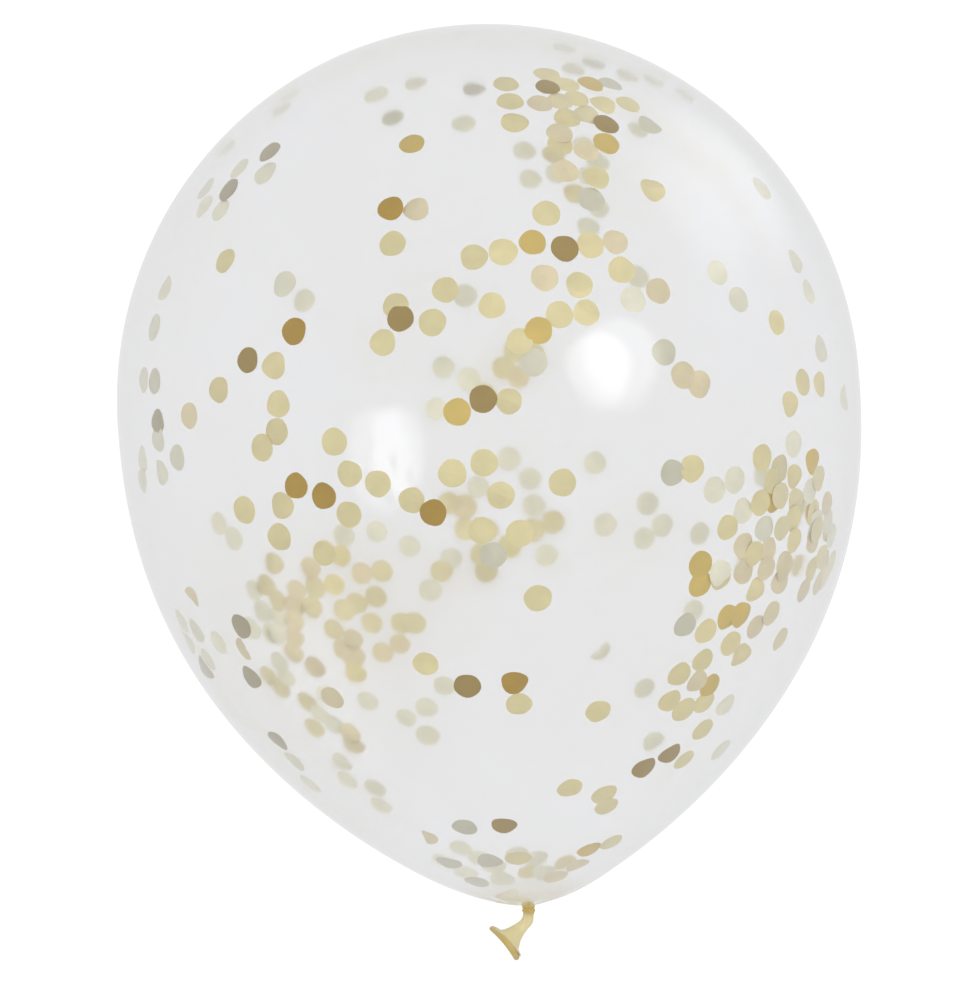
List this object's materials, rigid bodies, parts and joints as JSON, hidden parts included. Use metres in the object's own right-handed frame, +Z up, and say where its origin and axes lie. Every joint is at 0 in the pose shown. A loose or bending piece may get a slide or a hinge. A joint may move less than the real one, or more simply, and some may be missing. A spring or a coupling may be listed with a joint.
{
  "type": "confetti balloon",
  "caption": "Clear pear-shaped latex balloon with gold foil confetti inside, tied at a bent neck with a flared rolled lip, lying on its side.",
  "frame": {"origin": "middle of the footprint, on the surface that the balloon lies on", "axes": "+Z up; the crown points along +Y and the tied neck along -Y, a little down"},
  "size_m": [0.3, 0.3768, 0.2991],
  "materials": {
    "clear_latex": "thin, glossy, stretched clear latex with a faint warm haze",
    "amber_latex": "unstretched natural latex of the tied neck and lip, satin",
    "gold_foil": "punched foil discs, satin gold with paler, bronze and greyish ones among them"
  },
  "bodies": {
    "root": {"balloon": "clear_latex"}
  },
  "joints": []
}
